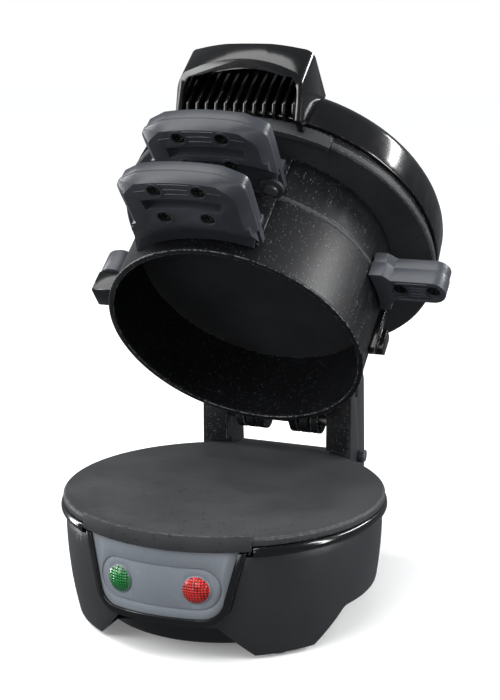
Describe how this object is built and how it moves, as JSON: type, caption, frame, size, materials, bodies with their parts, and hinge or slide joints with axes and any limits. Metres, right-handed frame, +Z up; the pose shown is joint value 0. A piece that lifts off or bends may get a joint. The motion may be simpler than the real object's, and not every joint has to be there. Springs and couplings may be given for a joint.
{
  "type": "breakfast sandwich maker",
  "caption": "Countertop sandwich cooker with a round heated base, stacked rings, a swing-out plate and a hinged heated cover",
  "frame": {"origin": "on the table under the middle of the open appliance", "axes": "+Z up, -Y towards the user, +X to the right of the user"},
  "size_m": [0.1558, 0.1916, 0.2315],
  "materials": {
    "housing": "satin",
    "gloss_black": "gloss",
    "heating_plate": "matt",
    "coated_metal": "speckled satin",
    "slate_plastic": "satin",
    "plate_handle": "satin",
    "panel_grey": "satin",
    "green_lamp": "translucent",
    "red_lamp": "translucent",
    "dark_screw": "dark",
    "bright_steel": "brushed",
    "foot_rubber": "matt",
    "ceramic_white": "matt"
  },
  "bodies": {
    "base": {"base_housing": "housing", "trim_ring": "gloss_black", "lower_plate": "heating_plate", "lower_lip": "heating_plate", "lower_element": "bright_steel", "base_heat_shield": "bright_steel", "plate_posts": "bright_steel", "base_thermostat": "ceramic_white", "thermal_fuse": "ceramic_white", "bottom_pan": "gloss_black", "rubber_feet": "foot_rubber", "base_screws": "dark_screw", "panel_bezel": "gloss_black", "indicator_panel": "panel_grey", "green_lens": "green_lamp", "red_lens": "red_lamp", "lamp_holders": "ceramic_white", "hinge_tower": "housing", "tower_strips": "coated_metal", "tower_lugs": "slate_plastic", "tower_back_cover": "housing", "tower_screws": "dark_screw", "rear_bumpers": "foot_rubber", "cord_inlet": "gloss_black", "hinge_pin": "bright_steel"},
    "lower_ring_assembly": {"lower_ring": "coated_metal", "lower_ring_bracket": "coated_metal", "lower_grip_strap": "coated_metal", "lower_grip_bottom": "slate_plastic", "lower_grip_top": "slate_plastic", "lower_grip_screws": "dark_screw", "left_guide_block": "gloss_black", "left_guide_cap": "slate_plastic", "right_guide": "gloss_black"},
    "upper_ring_assembly": {"upper_ring": "coated_metal", "upper_ring_bracket": "coated_metal", "upper_grip_strap": "coated_metal", "upper_grip_bottom": "slate_plastic", "upper_grip_top": "slate_plastic", "upper_grip_screws": "dark_screw", "plate_pivot_pin": "bright_steel"},
    "swing_plate": {"cooking_plate": "heating_plate", "egg_grip_bottom": "plate_handle", "egg_grip_top": "plate_handle", "egg_grip_screws": "dark_screw"},
    "cover": {"cover_shell": "gloss_black", "cover_grip": "gloss_black", "upper_plate": "heating_plate", "upper_lip": "heating_plate", "cover_trim": "coated_metal", "upper_element": "bright_steel", "cover_heat_shield": "bright_steel", "cover_thermostat": "ceramic_white", "cover_arms": "coated_metal", "cover_screws": "dark_screw"}
  },
  "joints": [
    {"name": "lower_ring_hinge", "type": "hinge", "parent": "base", "child": "lower_ring_assembly", "pos_m": [-0.0069, 0.03738, 0.0648], "axis": [-1, 0, 0], "range_deg": [-50.3, 8]},
    {"name": "upper_ring_hinge", "type": "hinge", "parent": "lower_ring_assembly", "child": "upper_ring_assembly", "pos_m": [-0.0069, 0.03738, 0.0648], "axis": [-1, 0, 0], "range_deg": [0, 22]},
    {"name": "cover_hinge", "type": "hinge", "parent": "upper_ring_assembly", "child": "cover", "pos_m": [-0.0069, 0.03738, 0.0648], "axis": [-1, 0, 0], "range_deg": [0, 22]},
    {"name": "plate_swing", "type": "hinge", "parent": "upper_ring_assembly", "child": "swing_plate", "pos_m": [0.0131, -0.02628, 0.17545], "axis": [0, -0.7694, -0.6388], "range_deg": [0, 80]}
  ]
}
